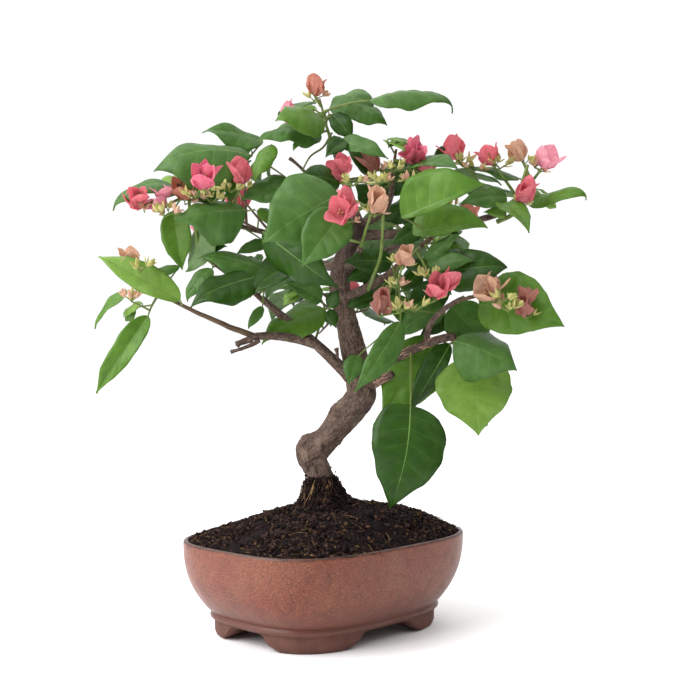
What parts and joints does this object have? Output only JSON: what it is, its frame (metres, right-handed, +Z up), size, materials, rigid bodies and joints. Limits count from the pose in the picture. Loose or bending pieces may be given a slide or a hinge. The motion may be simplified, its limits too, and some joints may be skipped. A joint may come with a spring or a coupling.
{
  "type": "potted bougainvillea bonsai",
  "caption": "Small bougainvillea trained as a bonsai: a twisted leaning trunk, leafy boughs with papery pink bracts, in a glazed rounded-rectangle pot on corner feet.",
  "frame": {"origin": "on the ground under the middle of the plant's own box; the pot's feet stand on z = 0", "axes": "+Z up; +X along the pot's long side; the tree's front faces the pot's corner toward -X -Y"},
  "size_m": [0.3078, 0.3258, 0.3995],
  "materials": {
    "pot_glaze": "satin",
    "soil": "matte",
    "bark": "matte",
    "foliage": "satin"
  },
  "bodies": {
    "root": {"pot": "pot_glaze", "soil": "soil", "trunk": "bark", "bough_left": "bark", "bough_left_low": "bark", "bough_right": "bark", "bough_right_up": "bark", "bough_mid": "bark", "bough_front": "bark", "bough_upper_right": "bark", "bough_upper_left": "bark", "bough_top": "bark", "bough_crown": "bark", "bough_back_left": "bark", "bough_back_right": "bark", "bough_back_low": "bark", "mass_top": "foliage", "mass_upper_left": "foliage", "mass_far_left": "foliage", "mass_left": "foliage", "mass_front": "foliage", "mass_crown": "foliage", "mass_mid": "foliage", "mass_upper_right": "foliage", "mass_right": "foliage", "mass_lower_right": "foliage", "mass_back_left": "foliage", "mass_back_right": "foliage", "mass_back_low": "foliage"}
  },
  "joints": []
}
